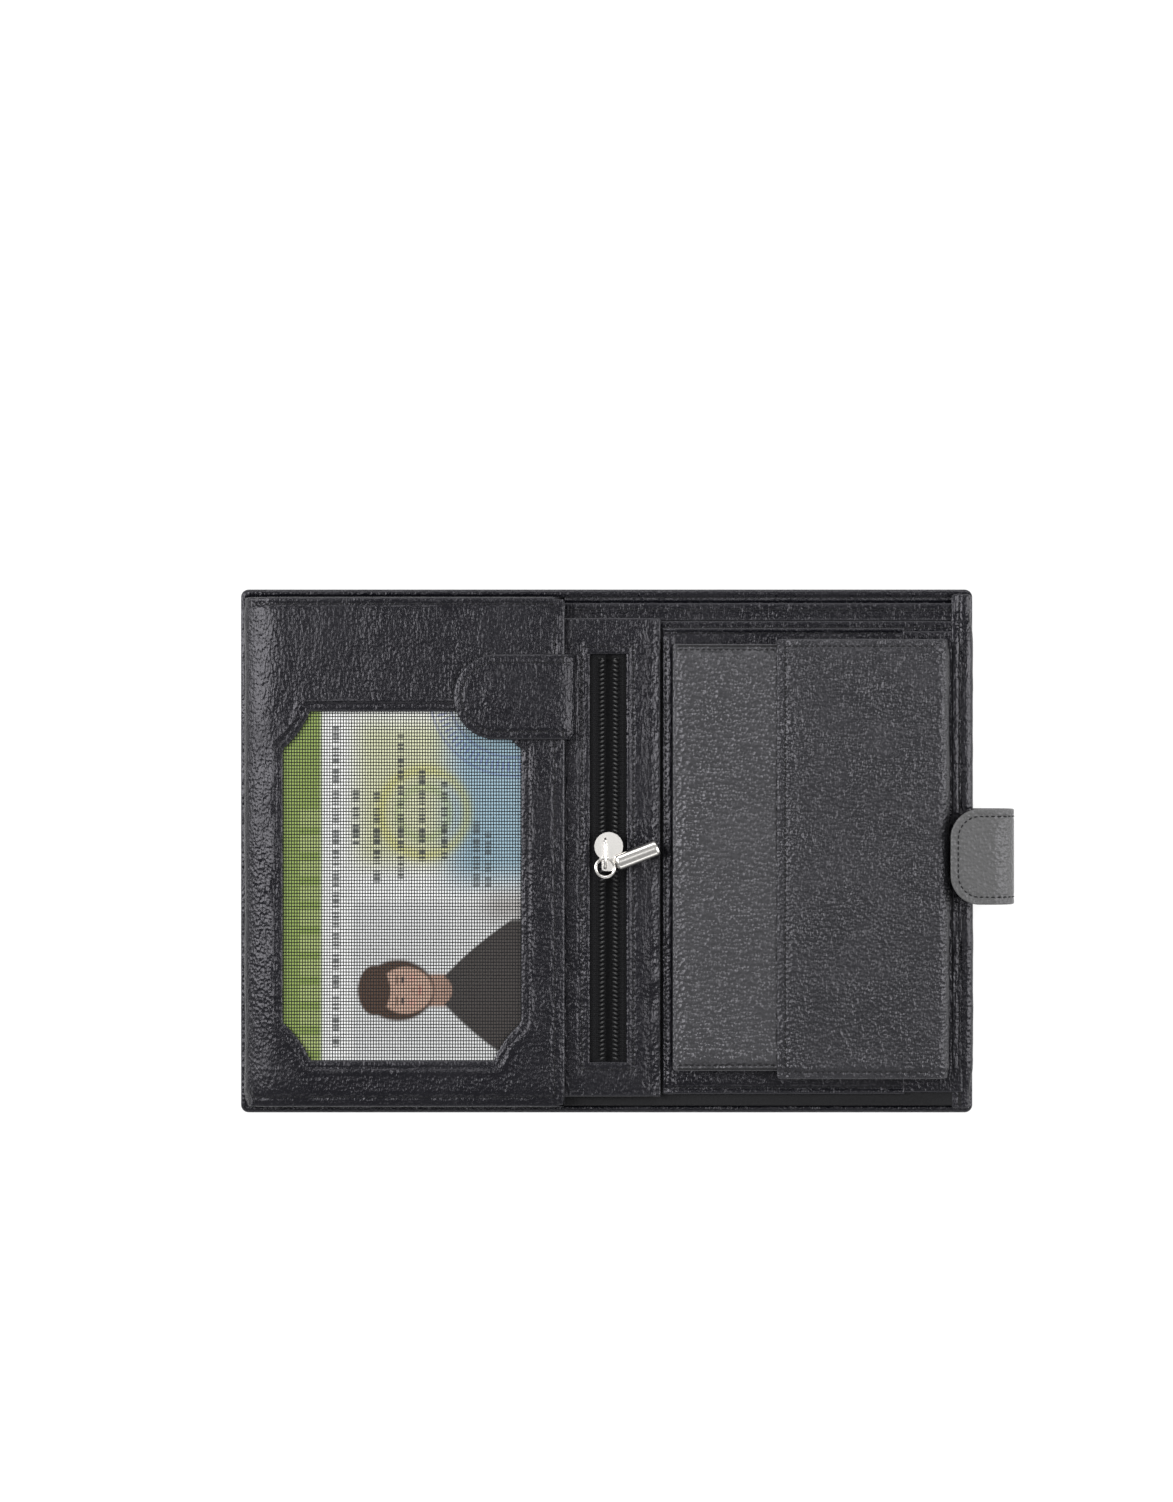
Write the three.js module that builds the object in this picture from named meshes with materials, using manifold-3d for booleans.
// A leather trifold wallet lying open: cover, note dividers, card slots, swinging card leaf with
// its snap tab, zip pocket in the spine, coin purse with flap, and a curled closing strap.
// Millimetres, +Z up, +Y towards the top edge. The origin is the middle of the cover's underside.
import * as THREE from "three";
import { mergeVertices } from "three/addons/utils/BufferGeometryUtils.js";
import Module from "manifold-3d";

const wasm = await Module();
wasm.setup();

// ---- Driving dimensions ----
const GAP = 0.3;
const CURVE_STEPS = 10;

// The cover, and the two fold axes that turn three flat panels into a closed book.
const COVER = { left: -94.5, right: 94.3, halfHeight: 67.5, thick: 1.6, corner: 2 };
const FOLD_LEFT = { x: -6, z: 5.5 };
const FOLD_RIGHT = { x: 7, z: 3.5 };
const SPINE = { left: FOLD_LEFT.x + GAP, right: FOLD_RIGHT.x - GAP };
const SPINE_INNER = { left: -5.4, right: 6.4 };

// Two dividers behind the inner panels, each with its top edge lower than the one behind it.
const DIVIDER_BOTTOM = -65.5;
const DIVIDER_BACK = { z: 1.9, thick: 0.6, top: 63.8 };
const DIVIDER_FRONT = { z: 2.8, thick: 0.6, top: 59.2 };
const LEFT_INNER = { left: -92, right: -7.4 };
const RIGHT_INNER = { left: 16.4, right: 92.5 };
const RIGHT_STRIP_LEFT = 7.6;

// Card slots under the leaf; each step is a shorter sheet that opens towards the spine.
const CARD_BASE = { z: 3.7, thick: 0.4, bottom: -62, top: 58 };
const CARD_SLOT = { z: 4.25, thick: 0.3, pitch: 0.45, count: 3, firstRight: -13, step: 12 };

// The card leaf, hinged along the left edge, and the card behind its netted window.
const LEAF = { left: -92, right: -10.9, bottom: -65.5, top: 65.3, corner: 1.5 };
const LEAF_BACK = { z: 5.9, thick: 0.5 };
const LEAF_NET = { z: 7.35, thick: 0.15, margin: 3 };
const LEAF_FRONT = { z: 7.65, thick: 0.65 };
const LEAF_FOLD = { left: -94.3, right: -92.7, bottom: 1.9, top: 6 };
const WINDOW = { left: -83.2, right: -22, bottom: -53.5, top: 35.9, notchX: 7, notchY: 9.5 };
const CARD = { left: -89.6, width: 74, bottom: -61.5, height: 105, corner: 3, z: 6.6, thick: 0.6 };

// The tab that holds the leaf shut, sewn in beside the spine and bent down to its root.
const TAB = { tip: -39.3, root: -10.8, bottom: 28.7, top: 50.6 };
const TAB_LINING = { z: 9.4, thick: 0.4 };
const TAB_OUTER = { z: 9.95, thick: 0.45 };
const TAB_BEND = { left: -10.5, right: -7, foot: 5.9, thick: 0.9 };
const TAB_SNAP = { x: -28, y: 39.5 };

// Snap fasteners: a stud with a nub, and a ring that the nub presses into.
const SNAP = { stud: 3.2, nub: 1.3, ring: 4.2, ringHole: 1.9 };
const LEAF_STUD = { z: 8.38, thick: 0.25, nub: 0.7 };
const TAB_SOCKET = { z: 8.75, thick: 0.5 };
const COIN_NUB = 0.6;
const STRAP_STUD = { drop: 0.55, thick: 0.4, nub: -0.6 };
const COVER_SOCKET = { z: 0.1, thick: 0.7 };
// How far a lining stops short of the leather that it lines.
const LINING_INSET = 0.4;

// The zip in the spine.
const ZIP = { x: 0.4, openLeft: -4.4, openRight: 4.9, openBottom: -54, openTop: 50.6 };
const ZIP_FRAME = { bottom: -63, top: 60, z: 5.1, thick: 0.7 };
const ZIP_LINING = { z: 3.4, thick: 0.25, top: 58.2 };
const ZIP_TAPE = { z: 4.4, thick: 0.3, overlap: 0.8, endMargin: 3 };
const COIL = { gap: 0.8, wide: 1.9, z: 4.85, thick: 1.3 };
const SLIDER = { y: 1.3, radius: 3.7, tail: 6.3, tailWide: 3.6, topZ: 6.35, topThick: 0.8 };
const SLIDER_BASE = { z: 3.85, thick: 0.4 };
const SLIDER_POST = { halfWide: 0.5, halfLong: 2, overlap: 0.1 };
const SLIDER_TAIL_CORNER = 0.8;
const BAIL = { x: -0.5, wide: 0.8, front: -4.1, back: 3.6, crown: 9.1, thick: 0.9 };
const EYE = { y: -4.1, outer: 2.87, inner: 2.2, z: 7.9, thick: 0.8 };
const PULL = { angle: 21, start: 3, length: 14.6, wide: 4.15, z: 7.9, high: 2.2 };

// The coin purse: a back, three walls, a front that stops short of the mouth, and the flap.
const PURSE = { left: 16.8, bottom: -56.1, top: 53.2, mouth: 78, wall: 0.6 };
const PURSE_BACK = { z: 4.8, thick: 0.6 };
const PURSE_WALL_TOP = 9.45;
const PURSE_FRONT = { z: 9.6, thick: 0.6 };
const RIGHT_PANEL = { z: 3.7, thick: 0.8, bottom: -62.5, top: 57.5 };
const FLAP = { left: 43.4, right: 84.7, bottom: -58.1, top: 54.5, corner: 1 };
const FLAP_LINING = { z: 10.5, thick: 0.35 };
const FLAP_OUTER = { z: 10.95, thick: 0.35 };
const FLAP_HINGE = { left: 85, right: 87.3, bottom: 5.6, top: 10.2 };
const COIN_SNAP = { x: 49.5, y: -2 };

// The closing strap: out of the right edge, round in a curl, and back over the edge.
const STRAP = { y: -1.2, wide: 24.5, thick: 2, lowZ: 0.5, root: 94.6, curlX: 98.2, tip: 87.6 };
const STRAP_TIP = { layer: 0.9, split: 0.2, roundness: 0.55 };
const CURL_INNER = 4.2;
const CURL_HALF_ANGLE = 62;
const COVER_SNAP = { x: -82, recess: 5.2, ring: 4.7, recessDepth: 1 };

// ---- Materials ----
const finish = (color, roughness, metalness = 0) =>
  new THREE.MeshStandardMaterial({ color, roughness, metalness });
const blackLeather = finish(0x26262b, 0.42);
const lining = finish(0x1c1c20, 0.85);
const strapLeather = finish(0x4a4a4c, 0.55);
const net = finish(0x18181a, 0.7);
const card = finish(0xd9dcd2, 0.4);
const tape = finish(0x141417, 0.9);
const nylon = finish(0x0e0e10, 0.45);
const chrome = finish(0xd8d6d2, 0.15, 1);

// ---- Shape helpers ----

// A rectangle with round corners; corners is one radius or one for each of four corners,
// counted from bottom left and anticlockwise.
function roundedRectangle(left, right, bottom, top, corners) {
  const [bl, br, tr, tl] = Array.isArray(corners) ? corners : [corners, corners, corners, corners];
  const shape = new THREE.Shape();
  shape.moveTo(left + bl, bottom);
  shape.lineTo(right - br, bottom);
  if (br) shape.absarc(right - br, bottom + br, br, -Math.PI / 2, 0, false);
  shape.lineTo(right, top - tr);
  if (tr) shape.absarc(right - tr, top - tr, tr, 0, Math.PI / 2, false);
  shape.lineTo(left + tl, top);
  if (tl) shape.absarc(left + tl, top - tl, tl, Math.PI / 2, Math.PI, false);
  shape.lineTo(left, bottom + bl);
  if (bl) shape.absarc(left + bl, bottom + bl, bl, Math.PI, Math.PI * 1.5, false);
  return shape;
}

function rectangle(left, right, bottom, top) {
  return roundedRectangle(left, right, bottom, top, 0);
}

function circlePath(x, y, radius) {
  return new THREE.Path().absarc(x, y, radius, 0, Math.PI * 2, true);
}

// A flat sheet: an outline in plan, from height z upwards.
function sheet(shape, { z, thick }) {
  const options = { depth: thick, bevelEnabled: false, curveSegments: CURVE_STEPS };
  return new THREE.ExtrudeGeometry(shape, options).translate(0, 0, z);
}

function plainSheet(left, right, bottom, top, layer) {
  return sheet(rectangle(left, right, bottom, top), layer);
}

// An outline drawn in x and z, drawn out along y from low to high.
function alongY(shape, low, high) {
  const options = { depth: high - low, bevelEnabled: false, curveSegments: CURVE_STEPS };
  return new THREE.ExtrudeGeometry(shape, options).rotateX(Math.PI / 2).translate(0, high, 0);
}

// A profile of [radius, height] pairs, turned about a vertical axis at x, y.
function turned(profile, x, y, segments = 32) {
  const points = profile.map(([radius, height]) => new THREE.Vector2(radius, height));
  return new THREE.LatheGeometry(points, segments).rotateX(Math.PI / 2).translate(x, y, 0);
}

function solid(geometry) {
  const bare = geometry.clone();
  bare.deleteAttribute("normal");
  bare.deleteAttribute("uv");
  const merged = mergeVertices(bare, 1e-4);
  const mesh = new wasm.Mesh({
    numProp: 3,
    vertProperties: new Float32Array(merged.attributes.position.array),
    triVerts: new Uint32Array(merged.index.array),
  });
  return new wasm.Manifold(mesh);
}

function fromSolid(made) {
  const { vertProperties, triVerts } = made.getMesh();
  const geometry = new THREE.BufferGeometry();
  geometry.setAttribute("position", new THREE.BufferAttribute(vertProperties, 3));
  geometry.setIndex(new THREE.BufferAttribute(triVerts, 1));
  return geometry;
}

function joined(first, ...others) {
  return fromSolid(others.reduce((sum, other) => sum.add(solid(other)), solid(first)));
}

function cut(body, tool) {
  return fromSolid(solid(body).subtract(solid(tool)));
}

// ---- The assembly ----
const wallet = new THREE.Group();

function add(name, geometry, material) {
  const mesh = new THREE.Mesh(geometry, material);
  mesh.name = name;
  wallet.add(mesh);
}

// A flat ring, such as the female half of a snap, from height z upwards.
function ring(x, y, outer, inner, { z, thick }) {
  const low = z;
  const high = z + thick;
  const profile = [[inner, low], [outer, low], [outer, high], [inner, high], [inner, low]];
  return turned(profile, x, y);
}

// The male half of a snap: a disc with a nub on it; a negative nub height puts it below.
function stud(x, y, { z, thick, nub }) {
  const low = Math.min(z, z + nub);
  const high = Math.max(z + thick, z + thick + nub);
  const profile = nub > 0
    ? [[SNAP.stud, low], [SNAP.stud, z + thick], [SNAP.nub, z + thick], [SNAP.nub, high]]
    : [[SNAP.nub, low], [SNAP.nub, z], [SNAP.stud, z], [SNAP.stud, high]];
  profile.unshift([0, low]);
  profile.push([0, high]);
  return turned(profile, x, y);
}

function addCover() {
  const { left, right, halfHeight, thick, corner } = COVER;
  const layer = { z: 0, thick };
  const leftLeaf = roundedRectangle(
    left, FOLD_LEFT.x - GAP, -halfHeight, halfHeight, [corner, 0, 0, corner]);
  const recess = turned(
    [[0, -1], [COVER_SNAP.recess, -1], [COVER_SNAP.recess, COVER_SNAP.recessDepth],
      [0, COVER_SNAP.recessDepth]],
    COVER_SNAP.x, STRAP.y);
  add("cover_left", cut(sheet(leftLeaf, layer), recess), blackLeather);
  add("cover_spine", plainSheet(SPINE.left, SPINE.right, -halfHeight, halfHeight, layer), blackLeather);
  const rightLeaf = roundedRectangle(
    FOLD_RIGHT.x + GAP, right, -halfHeight, halfHeight, [0, corner, corner, 0]);
  add("cover_right", sheet(rightLeaf, layer), blackLeather);
  const socket = ring(COVER_SNAP.x, STRAP.y, COVER_SNAP.ring, SNAP.ringHole, COVER_SOCKET);
  add("cover_snap_socket", socket, chrome);
}

function addNoteDividers() {
  const spans = {
    left: [LEFT_INNER.left, LEFT_INNER.right],
    spine: [SPINE_INNER.left, SPINE_INNER.right],
  };
  const rightStart = { back: RIGHT_STRIP_LEFT, front: RIGHT_INNER.left };
  for (const [name, layer] of Object.entries({ back: DIVIDER_BACK, front: DIVIDER_FRONT })) {
    const all = { ...spans, right: [rightStart[name], RIGHT_INNER.right] };
    for (const [panel, [from, to]] of Object.entries(all)) {
      const divider = plainSheet(from, to, DIVIDER_BOTTOM, layer.top, layer);
      add(`note_divider_${name}_${panel}`, divider, lining);
    }
  }
}

function addCardSlots() {
  const { left } = LEFT_INNER;
  const { bottom, top } = CARD_BASE;
  add("card_slot_base", plainSheet(left, LEFT_INNER.right, bottom, top, CARD_BASE), lining);
  for (let i = 0; i < CARD_SLOT.count; i++) {
    const layer = { z: CARD_SLOT.z + i * CARD_SLOT.pitch, thick: CARD_SLOT.thick };
    const right = CARD_SLOT.firstRight - i * CARD_SLOT.step;
    add(`card_slot_${i + 1}`, plainSheet(left, right, bottom, top, layer), blackLeather);
  }
}

// The window's outline, with a concave quarter ellipse bitten out of each corner of the opening.
function windowPath(grow = 0) {
  const { notchX, notchY } = WINDOW;
  const left = WINDOW.left - grow;
  const right = WINDOW.right + grow;
  const bottom = WINDOW.bottom - grow;
  const top = WINDOW.top + grow;
  const path = new THREE.Path();
  path.moveTo(left, bottom + notchY);
  path.absellipse(left, bottom, notchX, notchY, Math.PI / 2, 0, true);
  path.lineTo(right - notchX, bottom);
  path.absellipse(right, bottom, notchX, notchY, Math.PI, Math.PI / 2, true);
  path.lineTo(right, top - notchY);
  path.absellipse(right, top, notchX, notchY, -Math.PI / 2, -Math.PI, true);
  path.lineTo(left + notchX, top);
  path.absellipse(left, top, notchX, notchY, 0, -Math.PI / 2, true);
  path.lineTo(left, bottom + notchY);
  return path;
}

function addLeaf() {
  const { left, right, bottom, top, corner } = LEAF;
  const outline = () => roundedRectangle(left, right, bottom, top, [0, corner, corner, 0]);
  add("leaf_back", sheet(outline(), LEAF_BACK), blackLeather);
  const { margin } = LEAF_NET;
  const netSheet = plainSheet(
    WINDOW.left - margin, WINDOW.right + margin, WINDOW.bottom - margin, WINDOW.top + margin, LEAF_NET);
  add("leaf_net", netSheet, net);
  const front = outline();
  front.holes.push(windowPath());
  add("leaf_front", sheet(front, LEAF_FRONT), blackLeather);
  add("leaf_snap_stud", stud(TAB_SNAP.x, TAB_SNAP.y, LEAF_STUD), chrome);
  const fold = rectangle(LEAF_FOLD.left, LEAF_FOLD.right, LEAF_FOLD.bottom, LEAF_FOLD.top);
  add("leaf_fold_strip", alongY(fold, bottom, top), blackLeather);
}

function addCard() {
  const { left, width, bottom, height, corner } = CARD;
  const outline = roundedRectangle(left, left + width, bottom, bottom + height, corner);
  add("id_card", sheet(outline, CARD), card);
}

// The tab's outline: square at the root, a half round at the tip.
function tabOutline(inset = 0) {
  const radius = (TAB.top - TAB.bottom) / 2 - inset;
  const middle = (TAB.top + TAB.bottom) / 2;
  const shape = new THREE.Shape();
  const round = TAB.tip + inset + radius;
  shape.moveTo(round, middle - radius);
  shape.lineTo(TAB.root, middle - radius);
  shape.lineTo(TAB.root, middle + radius);
  shape.lineTo(round, middle + radius);
  shape.absarc(round, middle, radius, Math.PI / 2, Math.PI * 1.5, false);
  return shape;
}

function addTab() {
  add("tab_outer", sheet(tabOutline(), TAB_OUTER), blackLeather);
  add("tab_lining", sheet(tabOutline(LINING_INSET), TAB_LINING), lining);
  const socket = ring(TAB_SNAP.x, TAB_SNAP.y, SNAP.ring, SNAP.ringHole, TAB_SOCKET);
  add("tab_snap_socket", socket, chrome);

  const { left, right, foot, thick } = TAB_BEND;
  const top = TAB_OUTER.z + TAB_OUTER.thick;
  const radius = right - left;
  const bend = new THREE.Shape();
  bend.moveTo(left, top);
  bend.lineTo(left, top - thick);
  bend.absarc(left, top - radius, radius - thick, Math.PI / 2, 0, true);
  bend.lineTo(right - thick, foot);
  bend.lineTo(right, foot);
  bend.lineTo(right, top - radius);
  bend.absarc(left, top - radius, radius, 0, Math.PI / 2, false);
  add("tab_root", alongY(bend, TAB.bottom, TAB.top), blackLeather);
}

function addZip() {
  const { openLeft, openRight, openBottom, openTop } = ZIP;
  const frame = rectangle(SPINE_INNER.left, SPINE_INNER.right, ZIP_FRAME.bottom, ZIP_FRAME.top);
  const opening = new THREE.Path();
  opening.moveTo(openLeft, openBottom);
  opening.lineTo(openLeft, openTop);
  opening.lineTo(openRight, openTop);
  opening.lineTo(openRight, openBottom);
  frame.holes.push(opening);
  add("zip_frame", sheet(frame, ZIP_FRAME), blackLeather);
  const pocket = plainSheet(
    SPINE_INNER.left, SPINE_INNER.right, ZIP_FRAME.bottom, ZIP_LINING.top, ZIP_LINING);
  add("zip_pocket_lining", pocket, lining);

  const low = openBottom - ZIP_TAPE.endMargin;
  const high = openTop + ZIP_TAPE.endMargin;
  for (const [side, sign] of [["left", -1], ["right", 1]]) {
    const inner = ZIP.x + sign * COIL.gap;
    const outer = sign < 0 ? openLeft - ZIP_TAPE.overlap : openRight + ZIP_TAPE.overlap;
    const coilOuter = inner + sign * COIL.wide;
    const between = (a, b) => [Math.min(a, b), Math.max(a, b)];
    add(`zip_tape_${side}`, plainSheet(...between(inner, outer), low, high, ZIP_TAPE), tape);
    const coil = plainSheet(...between(inner, coilOuter), openBottom + GAP, openTop - GAP, COIL);
    add(`zip_coil_${side}`, coil, nylon);
  }
}

// The slider runs on the coils: a round top plate with a tail, a base plate under the tapes,
// and a post between the two coils that joins them.
function addSlider() {
  const { y, radius, tail, tailWide, topZ, topThick } = SLIDER;
  const top = { z: topZ, thick: topThick };
  const disc = new THREE.Shape().absarc(ZIP.x, y, radius, 0, Math.PI * 2, false);
  const tailPlate = roundedRectangle(
    ZIP.x - tailWide / 2, ZIP.x + tailWide / 2, y - tail, y,
    [SLIDER_TAIL_CORNER, SLIDER_TAIL_CORNER, 0, 0]);
  const post = rectangle(
    ZIP.x - SLIDER_POST.halfWide, ZIP.x + SLIDER_POST.halfWide,
    y - SLIDER_POST.halfLong, y + SLIDER_POST.halfLong);
  const postFoot = SLIDER_BASE.z + SLIDER_POST.overlap;
  const postLayer = { z: postFoot, thick: topZ + 2 * SLIDER_POST.overlap - postFoot };
  const body = joined(sheet(disc, top), sheet(tailPlate, top), sheet(post, postLayer),
    sheet(disc, SLIDER_BASE));
  add("zip_slider", body, chrome);

  // The bail is an arch over the slider, drawn in y and z, that the pull's eye hangs on.
  const { x, wide, front, back, crown, thick } = BAIL;
  const foot = topZ + topThick + GAP / 2;
  const arch = new THREE.Shape();
  arch.moveTo(front - thick / 2, foot);
  arch.lineTo(front + thick / 2, foot);
  arch.lineTo(front + thick / 2, crown);
  arch.lineTo(back - thick, crown);
  arch.lineTo(back - thick, foot);
  arch.lineTo(back, foot);
  arch.lineTo(back, crown);
  arch.absarc(back - thick, crown, thick, 0, Math.PI / 2, false);
  arch.lineTo(front + thick / 2, crown + thick);
  arch.absarc(front + thick / 2, crown, thick, Math.PI / 2, Math.PI, false);
  const drawn = new THREE.ExtrudeGeometry(
    arch, { depth: wide, bevelEnabled: false, curveSegments: CURVE_STEPS });
  // (y, z, depth) to (x, y, z)
  const swap = new THREE.Matrix4().set(0, 0, 1, x - wide / 2, 1, 0, 0, 0, 0, 1, 0, 0, 0, 0, 0, 1);
  add("slider_bail", drawn.applyMatrix4(swap), chrome);
}

function addPull() {
  add("pull_eye", ring(BAIL.x, EYE.y, EYE.outer, EYE.inner, EYE), chrome);
  // A half-round bar with its flat side down, drawn in section and drawn out along x.
  const { angle, start, length, wide, z, high } = PULL;
  const half = wide / 2;
  const section = new THREE.Shape();
  section.moveTo(-half, 0);
  section.lineTo(half, 0);
  section.absellipse(0, 0, half, high, 0, Math.PI, false);
  const bar = new THREE.ExtrudeGeometry(
    section, { depth: length - start, bevelEnabled: false, curveSegments: CURVE_STEPS });
  // section x to y, section y to z, depth to x
  const lay = new THREE.Matrix4().set(0, 0, 1, start, 1, 0, 0, 0, 0, 1, 0, z, 0, 0, 0, 1);
  bar.applyMatrix4(lay);
  bar.rotateZ(THREE.MathUtils.degToRad(angle)).translate(BAIL.x, EYE.y, 0);
  add("pull_barrel", bar, chrome);
}

function addCoinPurse() {
  const { left, bottom, top, mouth, wall } = PURSE;
  const right = FLAP_HINGE.right;
  const { bottom: low, top: high } = RIGHT_PANEL;
  add("right_inner_panel",
    plainSheet(RIGHT_INNER.left, RIGHT_INNER.right, low, high, RIGHT_PANEL), blackLeather);
  add("coin_purse_back", plainSheet(left, right, bottom, top, PURSE_BACK), lining);
  const wallLayer = { z: FLAP_HINGE.bottom, thick: PURSE_WALL_TOP - FLAP_HINGE.bottom };
  add("coin_wall_left", plainSheet(left, left + wall, bottom, top, wallLayer), blackLeather);
  const alongFrom = left + wall + GAP;
  const alongTo = FLAP_HINGE.left - GAP;
  add("coin_wall_bottom", plainSheet(alongFrom, alongTo, bottom, bottom + wall, wallLayer), lining);
  add("coin_wall_top", plainSheet(alongFrom, alongTo, top - wall, top, wallLayer), lining);
  const front = rectangle(left, mouth, bottom, top);
  front.holes.push(circlePath(COIN_SNAP.x, COIN_SNAP.y, SNAP.stud + GAP));
  add("coin_purse_front", sheet(front, PURSE_FRONT), blackLeather);
  const coinStud = { ...PURSE_FRONT, nub: COIN_NUB };
  add("coin_snap_stud", stud(COIN_SNAP.x, COIN_SNAP.y, coinStud), chrome);
  const hinge = rectangle(FLAP_HINGE.left, right, FLAP_HINGE.bottom, FLAP_HINGE.top);
  add("coin_flap_hinge", alongY(hinge, bottom, top), blackLeather);
}

function addCoinFlap() {
  const { left, right, bottom, top, corner } = FLAP;
  const outline = (inset) => roundedRectangle(
    left + inset, right, bottom + inset, top - inset, [corner, 0, 0, corner]);
  add("coin_flap_outer", sheet(outline(0), FLAP_OUTER), blackLeather);
  const lower = outline(LINING_INSET);
  lower.holes.push(circlePath(COIN_SNAP.x, COIN_SNAP.y, SNAP.ring + GAP));
  add("coin_flap_lining", sheet(lower, FLAP_LINING), lining);
  const socket = ring(COIN_SNAP.x, COIN_SNAP.y, SNAP.ring, SNAP.ringHole, FLAP_LINING);
  add("coin_snap_socket", socket, chrome);
}

// The strap in side view: root, curl and tip; the curl is a piece of a ring.
function addStrap() {
  const { y, wide, thick, lowZ, root, curlX, tip } = STRAP;
  const low = y - wide / 2;
  const high = y + wide / 2;
  const gap = GAP / 2;
  const straight = rectangle(root, curlX - gap, lowZ, lowZ + thick);
  add("strap_root", alongY(straight, low, high), strapLeather);

  const outer = CURL_INNER + thick;
  const middleZ = lowZ + outer;
  const sweep = THREE.MathUtils.degToRad(CURL_HALF_ANGLE);
  const curl = new THREE.Shape();
  curl.absarc(curlX, middleZ, outer, -sweep, sweep, false);
  curl.absarc(curlX, middleZ, CURL_INNER, sweep, -sweep, true);
  add("strap_curl", alongY(curl, low, high), strapLeather);

  const topZ = middleZ + CURL_INNER;
  const radius = wide / 2;
  const tipDepth = radius * STRAP_TIP.roundness;
  const tipShape = (inset) => {
    const shape = new THREE.Shape();
    const bend = tip + inset + tipDepth;
    shape.moveTo(bend, low + inset);
    shape.lineTo(curlX, low + inset);
    shape.lineTo(curlX, high - inset);
    shape.lineTo(bend, high - inset);
    shape.absellipse(bend, y, tipDepth, radius - inset, Math.PI / 2, Math.PI * 1.5, false);
    return shape;
  };
  const { layer, split } = STRAP_TIP;
  add("strap_tip_lining", sheet(tipShape(LINING_INSET), { z: topZ, thick: layer }), lining);
  add("strap_tip_outer", sheet(tipShape(0), { z: topZ + layer + split, thick: layer }), strapLeather);
  const snapX = (tip + curlX) / 2 + GAP;
  add("strap_snap_stud", stud(snapX, y, { ...STRAP_STUD, z: topZ - STRAP_STUD.drop }), chrome);
}

addCover();
addNoteDividers();
addCardSlots();
addLeaf();
addCard();
addTab();
addZip();
addSlider();
addPull();
addCoinPurse();
addCoinFlap();
addStrap();

export default wallet;
